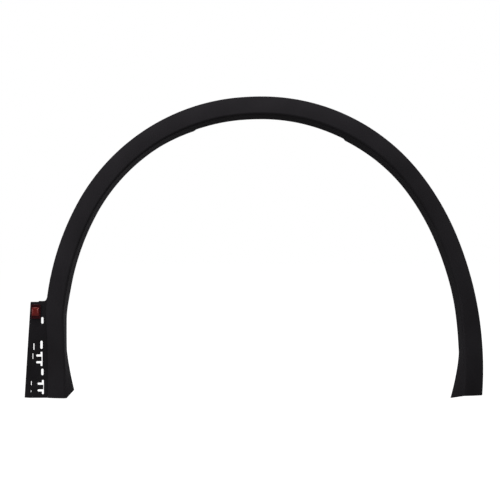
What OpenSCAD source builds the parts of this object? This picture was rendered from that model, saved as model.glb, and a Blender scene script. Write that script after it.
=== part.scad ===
// Wheel arch trim of a car: a moulded plastic band that frames the wheel opening.
// X runs along the car, Z is up and Y goes into the body. The origin is on the axis of the
// crown locating pin, in the plane where the moulding meets the body panel at the crown.

/* [Outline] */
// Radius of the outer edge over the crown
crown_r = 407; // [400:1:414]
// Radius of the outer edge over the short flat left of the top
flat_r = 544; // [500:2:600]
// Radius of the outer edge at the shoulders
shoulder_r = 534; // [515:1:555]
// Radius of the outer edge down the right leg
leg_r = 694; // [670:2:730]
// Angle that the crown arc turns to the right, in degrees
crown_right = 51.8; // [50:0.2:53.6]
// Angle that the shoulder arc turns on the right, in degrees
shoulder_right = 15.4; // [13:0.2:17]
// Angle of the short flat, in degrees
flat_sweep = 5.2; // [4:0.2:6]
// Angle that the crown arc turns to the left, in degrees
crown_left = 56.4; // [55:0.2:57.4]
// Angle that the shoulder arc turns on the left, in degrees
shoulder_left = 22; // [20:0.5:24]
// Angle at which the left leg leans back before it runs straight down, in degrees
lean = 3.6; // [2:0.1:5]
// Height of the feet below the crown pin
foot_drop = 583.5; // [560:0.5:600]
// How far the left end bows back round the body
bow_left = 20; // [0:1:30]
// How far the right end bows back round the body
bow_right = 10; // [0:1:30]

/* [Section] */
// Wall of the moulding
wall = 2.6; // [2.2:0.1:3]
// Width of the face, from the outer edge to the crease
face_w = 36; // [34:0.5:38]
// Width of the face at the right foot
face_right = 41.3; // [38:0.1:43]
// Width of the face at the left foot
face_left = 34.5; // [34.2:0.1:36]
// Height of the outer edge above the body panel
edge_h = 9; // [8:0.5:11]
// Height of the crease above the body panel
crest_h = 22; // [19:0.5:26]
// How far the face bulges between its edges
crown_h = 1.2; // [0:0.1:2]
// Outer radius at the outer edge
edge_r = 3.4; // [3.2:0.1:4]
// Outer radius at the crease
crease_r = 4.4; // [3.4:0.1:6]
// Depth of the return flange behind the panel plane, on the legs
flange_leg = 16; // [12:1:20]
// Depth of the return flange behind the panel plane, over the crown
flange_crown = 10; // [6:1:12]
// Slope of the return flange over the crown, in degrees away from the Y axis
draft_crown = 14.5; // [10:0.5:20]
// Slope of the return flange on the left leg, in degrees away from the Y axis
draft_left = 11; // [8:0.5:15]
// Slope of the return flange on the right leg, in degrees away from the Y axis
draft_right = 8; // [7:0.5:15]
// Reach of the return flange beyond the crease, just above the flare of a foot
waist = 3.3; // [1.6:0.1:4]
// Extra reach of the return flange at the end of the left foot
flare_left = 17.5; // [8:0.5:20]
// Extra reach of the return flange at the end of the right foot
flare_right = 16; // [8:0.5:20]
// Height over which the left foot flares
flare_left_h = 95; // [90:5:130]
// Height over which the right foot flares
flare_right_h = 90; // [80:5:120]
// Height above the feet at which the legs start to change
leg_h = 230; // [200:5:260]
// How far the inner corner of the right foot hangs below its face
tip_drop = 7.5; // [0:0.5:9]
// Length of the cut across the inner corner of the left foot, along the foot
corner_cut = 17; // [8:0.5:18]

/* [Clips and pins] */
// Length along the edge from the top to the first clip tower on each side
tower_first = 100; // [90:1:110]
// Spacing of the clip towers along the edge
tower_pitch = 172; // [164:1:174]
// Distance of the clips and pins from the outer edge
clip_in = 17; // [15.5:0.5:18]
// Width of a clip tower along the edge
tower_l = 24; // [22:0.5:26]
// Width of a clip tower across the band
tower_w = 22; // [21.5:0.1:22.5]
// Wall of a clip tower
tower_wall = 2; // [1.6:0.1:2.2]
// Distance of a clip tower's seat below the panel plane
seat_gap = 2; // [1.5:0.1:3]
// Diameter of a clip's neck
neck_d = 6.4; // [5.6:0.2:7.2]
// Diameter of the foot of a clip
clip_foot_d = 14; // [12:0.5:15]
// Thickness of the foot of a clip
clip_foot_t = 1.6; // [1.2:0.1:2]
// Diameter of a clip's sealing skirt
skirt_d = 17; // [15:0.5:19]
// Thickness of a clip's sealing skirt
skirt_t = 1.2; // [0.8:0.1:1.6]
// Diameter of a clip's stem
stem_d = 7.6; // [6.8:0.2:8.4]
// Diameter of a clip's stem below its barb
stem_neck_d = 5.6; // [5:0.2:6.4]
// Height of the barb on a clip's stem above the panel plane
barb_h = 4; // [3:0.5:5]
// Reach of a clip's stem into the body
stem_l = 13; // [11:0.5:16]
// Clearance of a clip in its seat
clip_gap = 0.2; // [0.1:0.05:0.4]
// Diameter of the locating pins
pin_d = 6; // [5:0.1:7]
// Reach of the locating pins into the body
pin_l = 14; // [11:0.5:18]
// Length of the taper at the tip of a locating pin
pin_tip = 1.5; // [1:0.1:2.5]
// Diameter of the shoulder that a locating pin stands on
shoulder_d = 10; // [8:0.5:11]
// Length along the edge from the top to each lower locating pin
pin_far = 702; // [696:1:708]
// Thickness of the ribs behind the face
rib = 1.8; // [1.2:0.1:2.4]
// Distance of the ribs behind the face from the panel plane
rib_gap = 3; // [2:0.5:5]

/* [Joining flange] */
// Height of the joining flange
joint_h = 191; // [188:0.5:194]
// Width of the joining flange at the top, from the joint line
joint_top = 33.5; // [32:0.5:36]
// Width of the joining flange at the bottom, from the joint line
joint_bottom = 46; // [44:0.5:48]
// Thickness of the joining flange
joint_t = 2.4; // [2:0.1:2.8]
// How far the joining flange lies below the outer edge of the face
joggle = 3; // [2:0.1:3.4]
// Distance of the top and bottom slots from the joint line
slot_in = 10.3; // [9.5:0.1:11]
// Distance of the middle slot from the joint line
slot_mid_in = 12; // [11:0.1:12.4]
// Width of the slots
slot_w = 4.4; // [4.2:0.1:5.4]
// Length of the top and bottom slots
slot_l = 13; // [12:0.5:16]
// Height of the bottom slot above the foot
slot_low = 51.5; // [50.5:0.5:52.5]
// Height of the middle slot above the foot
slot_mid = 105.5; // [104.5:0.5:106.5]
// Length of the middle slot
slot_mid_l = 16; // [15:0.5:19]
// Height of the top slot above the foot
slot_high = 154; // [152:0.5:155]
// Height of the lower snap tongue above the foot
tongue_low = 21.5; // [20:0.5:22.5]
// Height of the upper snap tongue above the foot
tongue_high = 77.5; // [76.5:0.5:78.5]
// Distance of the gap at the lower tongue's free end from the joint line
tongue_low_in = 9.3; // [8.5:0.1:10]
// Distance of the gap at the upper tongue's free end from the joint line
tongue_high_in = 12; // [10.5:0.1:12.4]
// Width of a snap tongue
tongue_w = 9.2; // [8:0.2:9.6]
// Length of the gaps beside a snap tongue
tongue_l = 6.5; // [6:0.5:9]
// Width of the gap above and below a snap tongue's free end
tongue_gap = 3.6; // [3:0.1:4]
// How far the upper snap tongue's free end reaches into that gap
tongue_reach = 2; // [1.6:0.1:2.4]
// How far the lower snap tongue's free end reaches into that gap
tongue_low_reach = 2.6; // [2:0.1:2.8]
// Length of the gap at the free end of a snap tongue
tongue_run = 28; // [24:0.5:29]
// Width of the gaps beside a snap tongue
relief_w = 4.2; // [3.6:0.1:4.6]
// Height of the nib on a snap tongue
nib_h = 1.6; // [1:0.1:2]
// Length of the nib on a snap tongue
nib_l = 5; // [4:0.5:6]
// Width of the folded side lip at the bottom
lip_w = 12; // [10:0.5:14]
// Height of the folded side lip
lip_h = 120; // [110:1:130]
// How far the side lip folds back
lip_fold = 9; // [4:0.5:12]
// Step in the top edge of the joining flange beside the arch
joint_step = 1.6; // [0.5:0.1:2.5]
// Radius between the top of the joining flange and the arch
joint_fillet = 6; // [4:0.5:8]
// Reach of the gussets between the joining flange and the arch
gusset = 6; // [4:0.5:7]

/* [Joint clip] */
// Width of the joint clip
jc_w = 18; // [16:0.5:19]
// Height of the joint clip
jc_h = 28; // [26:0.5:30]
// Thickness of the joint clip's plate
jc_t = 1.8; // [1.4:0.1:2.4]
// Width of the joint clip's rim
jc_rim = 1.8; // [1.4:0.1:2.4]
// Height of the joint clip's rim and ribs above its plate
jc_rim_h = 1.4; // [1:0.1:2]
// Distance of the joint clip's middle from the joint line
jc_in = 22.8; // [22.2:0.1:23.2]
// Height of the joint clip's middle above the foot
jc_up = 171.6; // [170.5:0.1:172.5]
// Width of the raised block on the joint clip
jc_block_w = 14; // [12:0.5:15]
// How far the front of the block bulges
jc_dome = 1.6; // [1:0.1:2.4]
// Diameter of the joint clip's shank
jc_shank_d = 7; // [6:0.2:8]
// Length of the joint clip's barb behind the flange
jc_barb_l = 8; // [6:0.5:10]
// Step of the joint clip's barb
jc_barb = 1.4; // [1:0.1:1.8]

/* [Hidden] */
// Lengths from the top at which the return flange changes depth, and the run of the change
step_left = 150;
step_right = 188;
step_run = 8;
// Longest distances between two sections of the sweep: along the arch, at the feet and in the left turn
pitch = 25;
foot_pitch = 15;
turn_pitch = 8;
// Heading at which the return flange starts to change its slope and the turn over which it does, on each side
slope_left = [15, 20];
slope_right = [20, 38];
// Radii of the turn into the lean of the left leg and of the turn out of it
turn_r = 240;
lean_r = 1520;
// Distance of the walls that close the feet from their ends, and how far they stay below the panel plane
end_gap = 0.6;
end_drop = 0.5;
// More than any depth to be cut through
through = 200;
charcoal = [0.14, 0.135, 0.14];
nylon = [0.86, 0.84, 0.78];
signal_red = [0.72, 0.06, 0.07];
// Slits beside the fold of the joining flange: distance from the joint line, height, width, length
side_slits = [[27, 102, 1.7, 13], [29, 83, 1.2, 11], [32, 29.3, 1.4, 8], [32.6, 13.3, 1, 4]];
// Heights of the gussets between the joining flange and the arch
gusset_heights = [36, 92, 130, 178];

// The crown pin stands straight below the top of the outer edge
top_z = clip_in;
// The outline as arcs [radius, angle] that follow each other tangentially from the top
right_arcs = [[crown_r, crown_right], [shoulder_r, shoulder_right]];
left_turn = flat_sweep + crown_left + shoulder_left;
left_arcs = [[flat_r, flat_sweep], [crown_r, crown_left], [shoulder_r, shoulder_left],
             [turn_r, 90 + lean - left_turn], [-lean_r, -lean]];

function arc_length(arc) = arc[0] * arc[1] * PI / 180;
function sum(list, i = 0) = i == len(list) ? 0 : list[i] + sum(list, i + 1);
function lengths(arcs) = sum([for (a = arcs) arc_length(a)]);
function mix(a, b, t) = a + (b - a) * t;
function ramp(t) = let (c = min(max(t, 0), 1)) c * c * (3 - 2 * c);

// A point [x, z, heading] carried on along an arc or straight on. An arc of negative radius turns back
function along_arc(p, radius, s) =
    let (h = p[2] + s / radius * 180 / PI)
    [p[0] + radius * (sin(h) - sin(p[2])), p[1] - radius * (cos(p[2]) - cos(h)), h];
function along_line(p, s) = [p[0] + s * cos(p[2]), p[1] - s * sin(p[2]), p[2]];
function walk(arcs, s, p = [0, 0, 0], i = 0) =
    s <= arc_length(arcs[i]) ? along_arc(p, arcs[i][0], s)
    : i + 1 < len(arcs) ? walk(arcs, s - arc_length(arcs[i]), end_of(arcs[i], p), i + 1)
    : [each end_of(arcs[i], p), s - arc_length(arcs[i])];
function end_of(arc, p) = along_arc(p, arc[0], arc_length(arc));

// The right leg is one more arc that ends at the height of the foot, the left one a straight line
right_start = walk(right_arcs, lengths(right_arcs));
foot_heading = acos(cos(right_start[2]) - (right_start[1] + foot_drop + top_z) / leg_r);
right_path = [each right_arcs, [leg_r, foot_heading - right_start[2]]];
right_end = lengths(right_path);
left_start = walk(left_arcs, lengths(left_arcs));
left_end = lengths(left_arcs) + left_start[1] + foot_drop + top_z;

// The outer edge at a signed length from the top, right is positive: [x, z, heading]
function on_path(s) =
    s < 0 ? (-s <= lengths(left_arcs) ? walk(left_arcs, -s) : along_line(left_start, -s - lengths(left_arcs)))
    : walk(right_path, min(s, right_end - 0.001));
function edge(s) =
    let (p = on_path(s))
    [sign_of(s) * p[0], top_z + p[1], sign_of(s) * min(p[2], 90)];
function sign_of(s) = s < 0 ? -1 : 1;
function to_foot(s) = s < 0 ? left_end + s : right_end - s;
function bow(s) =
    let (t = edge(s)[0] / (s < 0 ? edge(-left_end)[0] : edge(right_end)[0]))
    (s < 0 ? bow_left : bow_right) * t * t;

// The section at a length: u runs inwards from the outer edge and v goes into the body
function flare_h(s) = s < 0 ? flare_left_h : flare_right_h;
function foot_share(s) = 1 - min(to_foot(s) / flare_h(s), 1);
function leg_share(s) = ramp((leg_h - to_foot(s)) / (leg_h - flare_h(s)));
function face_at(s) = mix(face_w, s < 0 ? face_left : face_right, leg_share(s));
function step_share(s) = s < 0 ? ramp((-s - step_left) / step_run) : ramp((s - step_right) / step_run);
function flange_at(s) = mix(flange_crown, flange_leg, step_share(s));
function draft_at(s) =
    let (turn = s < 0 ? slope_left : slope_right)
    mix(draft_crown, s < 0 ? draft_left : draft_right, ramp((abs(edge(s)[2]) - turn[0]) / turn[1]));
function reach_at(s) =
    mix((crest_h + flange_at(s)) * tan(draft_at(s)), waist, leg_share(s))
    + (s < 0 ? flare_left : flare_right) * pow(foot_share(s), 1.4);

function unit(a) = a / norm(a);
// The arc of a radius that rounds the corner b between a and c, as n + 1 points
function rounded(a, b, c, r, n) =
    let (p = unit(a - b), q = unit(c - b), half = acos(p * q) / 2,
         centre = b + unit(p + q) * r / sin(half), from = b + p * r / tan(half) - centre,
         to = b + q * r / tan(half) - centre, turn = 180 - 2 * half)
    [for (i = [0:n]) centre + (from * sin(turn * (1 - i / n)) + to * sin(turn * i / n)) / sin(turn)];
// The outer skin, from the outer lip over the face and the crease to the end of the return flange
function skin(s) =
    let (f = face_at(s), lip = [0, 0], corner = [0, -edge_h], crease = [f, -crest_h],
         tip = [f + reach_at(s), flange_at(s)],
         a = rounded(lip, corner, crease, edge_r, 3), b = rounded(corner, crease, tip, crease_r, 4),
         run = b[0] - a[3], out = unit([run[1], -run[0]]))
    [lip, each a, for (t = [0.25, 0.5, 0.75]) a[3] + run * t + out * crown_h * 4 * t * (1 - t),
     each b, (b[4] + tip) / 2, tip];
// The same line moved into the wall by a thickness
function normal_at(line, i) =
    let (a = line[max(i - 1, 0)], b = line[i], c = line[min(i + 1, len(line) - 1)],
         p = i > 0 ? unit(b - a) : unit(c - b), q = i < len(line) - 1 ? unit(c - b) : p, m = unit(p + q))
    [-m[1], m[0]] / (m * p);
function inset(line, t) = [for (i = [0:len(line) - 1]) line[i] + normal_at(line, i) * t];
function reversed(list) = [for (i = [len(list) - 1:-1:0]) list[i]];

// A section point [u, v] at a length along the edge, in space. The inner corner of the right foot hangs down
function tip_share(s, p) = s > 0 ? max(0, (p[0] - face_at(s)) / reach_at(s)) * pow(foot_share(s), 2) : 0;
function place(s, p) =
    let (e = edge(s))
    [e[0] - p[0] * sin(e[2]), bow(s) + p[1], e[1] - p[0] * cos(e[2]) - tip_drop * tip_share(s, p)];

// Lengths at which the form changes, and the longest distance between sections after each
stops = [[-left_end, foot_pitch],
         [-lengths([for (i = [0:3]) left_arcs[i]]), turn_pitch],
         [-lengths([for (i = [0:2]) left_arcs[i]]), pitch],
         [-step_left - step_run, step_run],
         [-step_left, pitch],
         [step_right, step_run],
         [step_right + step_run, pitch],
         [right_end - leg_h, foot_pitch],
         [right_end, 0]];
stations = [for (k = [0:len(stops) - 2])
            let (a = stops[k][0], b = stops[k + 1][0], n = ceil((b - a) / stops[k][1]))
            for (i = [0:n - 1]) mix(a, b, i / n), right_end];

// The moulded band: the section carried along the edge
module band() {
    rings = [for (s = stations)
             let (line = skin(s)) [for (p = [each line, each reversed(inset(line, wall))]) place(s, p)]];
    n = len(rings[0]);
    m = len(rings);
    h = n / 2;
    sides = [for (j = [0:m - 2], i = [0:n - 1], k = [0, 1])
             let (a = j * n + i, b = j * n + (i + 1) % n, c = a + n, d = b + n)
             k == 0 ? [a, d, b] : [a, c, d]];
    first_end = [for (i = [0:h - 2]) [i, i + 1, n - 2 - i, n - 1 - i]];
    last_end = [for (f = first_end) [for (i = reversed(f)) i + (m - 1) * n]];
    polyhedron([for (r = rings) each r], [each sides, each first_end, each last_end]);
}

// Places for things that stand on the back of the face: X along the edge, Y into the body, Z outwards
module on_edge(s) {
    e = edge(s);
    translate([e[0], bow(s), e[1]]) rotate([0, e[2], 0]) children();
}
// A plate across the band, drawn in [u, v], from x0 on and t thick
module across(x0, t) {
    translate([x0, 0, 0]) rotate([0, 90, 0]) linear_extrude(t) children();
}
// A block given by its lowest and highest corner
module block(a, b) {
    translate(a) cube(b - a);
}
// Depth of the middle of the wall of a face of a given width, at a distance from the outer edge
function root(u, face) = wall / 2 - crown_h / 2 - edge_h - (crest_h - edge_h) * u / face;

clip_stops = [for (side = [-1, 1], i = [0:4]) side * (tower_first + i * tower_pitch)];
rib_stops = [for (side = [-1, 1], i = [0:2]) side * (tower_first + (i + 0.5) * tower_pitch)];
pin_stops = [0, -pin_far, pin_far];

// A tower that holds the foot of a push-in clip, open at one side so that the clip slides in
module tower(face) {
    u0 = clip_in - tower_w / 2;
    u1 = clip_in + tower_w / 2;
    half = tower_l / 2;
    across(-half, tower_wall)
        polygon([[u0, root(u0, face)], [u1, root(u1, face)], [u1, -seat_gap], [u0, -seat_gap]]);
    for (u = [u0, u1 - tower_wall])
        block([-half, root(u + tower_wall / 2, face), -u - tower_wall], [half, -seat_gap, -u]);
    difference() {
        block([-half, -seat_gap - tower_wall, -u1], [half, -seat_gap, -u0]);
        translate([0, 0, -clip_in]) {
            rotate([90, 0, 0]) cylinder(h = through, d = neck_d + 2 * clip_gap, center = true, $fn = 48);
            block([0, -through, -neck_d / 2 - clip_gap], [tower_l, through, neck_d / 2 + clip_gap]);
        }
    }
}

// A locating pin on a shoulder that rests against the panel, with a cross of fins round the shoulder
module pin(face) {
    u0 = clip_in - shoulder_d;
    u1 = clip_in + shoulder_d;
    v0 = root(u0, face);
    v1 = root(u1, face);
    middle = root(clip_in, face);
    top = shoulder_d * 0.4;
    translate([0, 0, -clip_in]) rotate([-90, 0, 0]) {
        cylinder(h = pin_l - pin_tip, d = pin_d, $fn = 48);
        translate([0, 0, pin_l - pin_tip]) cylinder(h = pin_tip, d1 = pin_d, d2 = pin_d / 2, $fn = 48);
    }
    intersection() {
        translate([0, 0, -clip_in]) rotate([90, 0, 0]) cylinder(h = crest_h, d = shoulder_d, $fn = 48);
        across(-shoulder_d, 2 * shoulder_d) polygon([[u0, v0], [u1, v1], [u1, wall], [u0, wall]]);
    }
    across(-rib / 2, rib)
        polygon([[u0, v0], [u1, v1], [u1, v1 + wall], [clip_in + top, -seat_gap],
                 [clip_in - top, -seat_gap], [u0, v0 + wall]]);
    block([-shoulder_d, middle, -clip_in - rib / 2], [shoulder_d, middle + 2 * wall, -clip_in + rib / 2]);
}

// The closed section of the band, along the middle of its walls, up to a depth
function filling(s, top) =
    let (line = inset(skin(s), wall / 2), n = len(line), tip = line[n - 1], crease = line[n - 3],
         t = (top - crease[1]) / (tip[1] - crease[1]))
    [[line[0][0], top], for (i = [1:n - 3]) line[i], [mix(crease[0], tip[0], t), top]];
// A wall that fills the section between two lengths
module bulkhead(s0, s1, top) {
    rings = [for (s = [s0, s1]) [for (p = filling(s, top)) place(s, p)]];
    n = len(rings[0]);
    polyhedron([each rings[0], each rings[1]],
               [[for (i = [0:n - 1]) i], [for (i = [0:n - 1]) 2 * n - 1 - i],
                for (i = [0:n - 1]) let (k = (i + 1) % n) each [[i, k + n, k], [i, i + n, k + n]]]);
}

joint_x = edge(-left_end)[0];
joint_z = edge(-left_end)[1];
joint_y = bow(-left_end) - edge_h + joggle;
// The arch's outer edge at a height above the left foot, from the joint line at the foot
function edge_x(z) = edge(z - left_end)[0] - joint_x;
// Moves what is drawn in X and height on the joining flange to its front, to be cut or built along Y
module on_joint(depth = 0) {
    translate([joint_x, joint_y + depth, joint_z]) rotate([90, 0, 0]) children();
}
module cut_through() {
    on_joint() linear_extrude(through, center = true) children();
}
// A slot with round ends
module slot(x, z, w, l) {
    translate([-x, z]) {
        square([w, l - w], center = true);
        for (k = [-1, 1]) translate([0, k * (l - w) / 2]) circle(d = w, $fn = 32);
    }
}
// The gap round a snap tongue that is rooted on the left
module tongue_gaps(x, z, reach) {
    translate([-x + tongue_gap / 2, z]) {
        difference() {
            translate([-tongue_gap, -tongue_run / 2]) square([tongue_gap, tongue_run]);
            translate([-tongue_gap - 1, -tongue_w / 2]) square([reach + 1, tongue_w]);
        }
        for (k = [-1, 1]) translate([-tongue_gap - tongue_l, k * (tongue_w + relief_w) / 2]) {
            circle(d = relief_w, $fn = 32);
            translate([0, -relief_w / 2]) square([tongue_l + tongue_gap / 2, relief_w]);
        }
    }
}
// The nib that catches the neighbouring moulding, at the free end of a tongue
module tongue_nib(x, z, reach) {
    translate([joint_x - x - tongue_gap / 2 + reach, joint_y, joint_z + z - tongue_w * 0.4])
        linear_extrude(tongue_w * 0.8)
            polygon([[0, joint_t / 2], [-nib_l, joint_t / 2], [-nib_l, 0], [-nib_l / 5, -nib_h], [0, -nib_h]]);
}
// The lip that folds back along the lower left edge, growing wider towards the foot
module side_lip() {
    fold_x = joint_x - joint_bottom + lip_w;
    outer_x = joint_x - joint_bottom;
    top_edge_x = joint_x + mix(-joint_bottom, -joint_top, lip_h / joint_h);
    y = joint_y + joint_t / 8;
    front = [[fold_x + joint_t / 2, y, joint_z], [outer_x, joint_y + lip_fold, joint_z],
             [top_edge_x, y, joint_z + lip_h], [top_edge_x + joint_t / 2, y, joint_z + lip_h]];
    back = [for (p = front) p + [0, joint_t * 0.75, 0]];
    polyhedron([each front, each back],
               [[0, 1, 2], [0, 2, 3], [4, 6, 5], [4, 7, 6],
                for (i = [0:3]) let (k = (i + 1) % 4) each [[i, k + 4, k], [i, i + 4, k + 4]]]);
}

module joining_flange() {
    inner = wall / 2;
    top = joint_h + joint_step;
    difference() {
        on_joint(joint_t) linear_extrude(joint_t) {
            polygon([[-joint_bottom + lip_w, 0], [mix(-joint_bottom, -joint_top, lip_h / joint_h), lip_h],
                     [-joint_top, joint_h], [-joint_top / 2 - joint_step, joint_h], [-joint_top / 2, top],
                     for (i = [8:-1:0]) [edge_x(top * i / 8) + inner, top * i / 8]]);
            translate([edge_x(top), top]) difference() {
                translate([-joint_fillet, -joint_t]) square([joint_fillet + inner, joint_fillet + joint_t]);
                translate([-joint_fillet, joint_fillet]) circle(r = joint_fillet, $fn = 48);
            }
        }
        cut_through() {
            for (z = [slot_low, slot_high]) slot(slot_in, z, slot_w, slot_l);
            slot(slot_mid_in, slot_mid, slot_w, slot_mid_l);
            tongue_gaps(tongue_low_in, tongue_low, tongue_low_reach);
            tongue_gaps(tongue_high_in, tongue_high, tongue_reach);
            for (p = side_slits) slot(p[0], p[1], p[2], p[3]);
            translate([-jc_in, jc_up]) circle(d = jc_shank_d + 4 * clip_gap, $fn = 48);
        }
    }
    tongue_nib(tongue_low_in, tongue_low, tongue_low_reach);
    tongue_nib(tongue_high_in, tongue_high, tongue_reach);
    for (z = gusset_heights) translate([joint_x + edge_x(z), joint_y + joint_t, joint_z + z])
        linear_extrude(rib)
            polygon([[inner, -joint_t / 2], [-gusset, -joint_t / 2], [-gusset, 0],
                     [0, gusset / 2], [inner, gusset / 2]]);
    side_lip();
}

// What the cut across the inner corner of the left foot takes away
module foot_corner() {
    tip = joint_x + face_at(-left_end) + reach_at(-left_end);
    translate([tip - corner_cut, 0, joint_z]) rotate([0, -45, 0])
        block([-through, -through, -through], [through, through, 0]);
}

module arch_moulding() {
    color(charcoal) {
        difference() {
            union() {
                band();
                bulkhead(-left_end + end_gap, -left_end + end_gap + wall, -end_drop);
            }
            foot_corner();
        }
        bulkhead(right_end - end_gap - wall, right_end - end_gap, -end_drop);
        for (s = rib_stops) bulkhead(s - rib / 2, s + rib / 2, -rib_gap);
        for (s = clip_stops) on_edge(s) tower(face_at(s));
        for (s = pin_stops) on_edge(s) pin(face_at(s));
        joining_flange();
    }
}

module push_clip() {
    above = clip_gap - seat_gap;
    below = -seat_gap - tower_wall - clip_gap;
    foot = below - clip_foot_t;
    profile = [[0, foot], [clip_foot_d / 2, foot], [clip_foot_d / 2, below], [neck_d / 2, below],
               [neck_d / 2, above], [skirt_d / 2 - skirt_t, above], [skirt_d / 2, -clip_gap],
               [skirt_d / 2 - skirt_t, -clip_gap], [stem_neck_d / 2, above + skirt_t],
               [stem_neck_d / 2, barb_h / 2], [stem_d / 2, barb_h], [stem_d / 4, stem_l], [0, stem_l]];
    slit = stem_neck_d * 0.3;
    translate([0, 0, -clip_in]) rotate([-90, 0, 0]) difference() {
        rotate_extrude($fn = 48) polygon(profile);
        translate([-stem_d, -slit / 2, barb_h * 0.75]) cube([2 * stem_d, slit, stem_l]);
    }
}
module panel_clips() {
    color(nylon) for (s = clip_stops) on_edge(s) push_clip();
}

// The clip on the joining flange: a rimmed plate with two ribs, a raised block with a bulging front between
// them, and a barbed shank through the flange
module joint_clip() {
    shank_end = joint_t + 2 * clip_gap;
    front = jc_t + jc_rim_h + jc_dome;
    bulge_r = (jc_block_w * jc_block_w / 4 + jc_dome * jc_dome) / (2 * jc_dome);
    barb = [[0, -jc_t / 2], [jc_shank_d / 2, -jc_t / 2], [jc_shank_d / 2, shank_end],
            [jc_shank_d / 2 + jc_barb, shank_end], [jc_shank_d / 2 - jc_barb, shank_end + jc_barb_l],
            [0, shank_end + jc_barb_l]];
    color(signal_red) on_joint(-clip_gap) translate([-jc_in, jc_up, 0]) {
        linear_extrude(jc_t) square([jc_w, jc_h], center = true);
        linear_extrude(jc_t + jc_rim_h) {
            difference() {
                square([jc_w, jc_h], center = true);
                square([jc_w - 2 * jc_rim, jc_h - 2 * jc_rim], center = true);
            }
            for (k = [-1, 1]) translate([0, k * jc_h * 0.3]) square([jc_w - jc_rim, jc_rim_h], center = true);
        }
        translate([(jc_rim + jc_block_w - jc_w) / 2, 0, 0]) intersection() {
            linear_extrude(front) square([jc_block_w, jc_h * 0.6], center = true);
            translate([0, 0, front - bulge_r]) rotate([90, 0, 0])
                cylinder(h = jc_h, r = bulge_r, center = true, $fn = 96);
        }
        rotate([180, 0, 0]) rotate_extrude($fn = 48) polygon(barb);
    }
}

arch_moulding();
joint_clip();
panel_clips();
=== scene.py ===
"""Wheel arch trim: a grained black moulding with its clips and pins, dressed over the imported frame."""
import math

import bmesh
import bpy
import numpy as np
from mathutils import Matrix, Vector


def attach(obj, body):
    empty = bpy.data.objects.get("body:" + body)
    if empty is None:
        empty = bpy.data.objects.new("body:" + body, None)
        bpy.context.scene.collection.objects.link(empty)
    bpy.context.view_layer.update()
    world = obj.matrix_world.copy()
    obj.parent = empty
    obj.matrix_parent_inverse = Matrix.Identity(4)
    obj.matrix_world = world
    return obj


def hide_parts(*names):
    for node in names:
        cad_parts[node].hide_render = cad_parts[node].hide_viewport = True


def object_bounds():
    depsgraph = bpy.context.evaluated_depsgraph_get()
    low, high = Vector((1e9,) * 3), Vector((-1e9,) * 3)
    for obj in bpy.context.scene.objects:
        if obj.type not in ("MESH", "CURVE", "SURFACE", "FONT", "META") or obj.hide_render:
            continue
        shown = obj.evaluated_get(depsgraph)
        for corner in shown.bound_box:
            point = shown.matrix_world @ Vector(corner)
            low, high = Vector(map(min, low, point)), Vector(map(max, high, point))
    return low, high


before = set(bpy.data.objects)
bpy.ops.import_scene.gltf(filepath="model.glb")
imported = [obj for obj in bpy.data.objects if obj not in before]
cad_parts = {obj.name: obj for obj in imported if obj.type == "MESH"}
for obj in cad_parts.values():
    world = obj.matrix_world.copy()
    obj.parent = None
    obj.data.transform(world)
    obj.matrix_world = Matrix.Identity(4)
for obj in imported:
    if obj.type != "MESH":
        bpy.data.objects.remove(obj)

cad_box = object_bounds()
MM = 0.001

# Sizes in mm and angles in degrees, as the solids have them.
# The outer edge: radii of its arcs, the angles they turn through, the drop to the feet, the bow of both ends
CROWN_R, FLAT_R, SHOULDER_R, LEG_R = 407, 544, 534, 694
TURN_R, LEAN_R, LEAN = 240, 1520, 3.6
CROWN_RIGHT, SHOULDER_RIGHT = 51.8, 15.4
FLAT_SWEEP, CROWN_LEFT, SHOULDER_LEFT = 5.2, 56.4, 22
FOOT_DROP = 583.5
BOW_LEFT, BOW_RIGHT = 20, 10
# The section: its wall, the face's width, the heights of edge, crest and crown, the radii of edge and crease
WALL = 2.6
FACE, FACE_RIGHT, FACE_LEFT = 36, 41.3, 34.5
EDGE_H, CREST_H, CROWN_H = 9, 22, 1.2
EDGE_R, CREASE_R = 3.4, 4.4
# The return flange: its depth and draft, where the draft changes [heading, turn], where the depth does
FLANGE_LEG, FLANGE_CROWN = 16, 10
DRAFT_CROWN, DRAFT_LEFT, DRAFT_RIGHT = 14.5, 11, 8
SLOPE_LEFT, SLOPE_RIGHT = (15, 20), (20, 38)
STEP_LEFT, STEP_RIGHT, STEP_RUN = 150, 188, 8
# The legs: reach past the crease at the waist, of the flares and their power, heights, low tip, cut corner
WAIST, FLARE_LEFT, FLARE_RIGHT, FLARE_POWER = 3.3, 17.5, 16, 1.4
FLARE_LEFT_H, FLARE_RIGHT_H, LEG_H = 95, 90, 230
TIP_DROP, CORNER_CUT = 7.5, 17
# Behind the face: clip towers, locating pins, ribs and the closing walls of the feet
CLIP_IN, SEAT_GAP = 17, 2
TOWER_FIRST, TOWER_PITCH, TOWER_L, TOWER_W, TOWER_WALL = 100, 172, 24, 22, 2
NECK_D, CLIP_GAP = 6.4, 0.2
PIN_D, PIN_L, PIN_TIP, PIN_ROOT, PIN_FAR = 6, 14, 1.5, 0.6, 702
SHOULDER_D, SHOULDER_EDGE, FIN_TOP = 10, 0.5, 8
RIB, RIB_GAP = 1.8, 3
END_GAP, END_DROP = 0.6, 0.5
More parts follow.
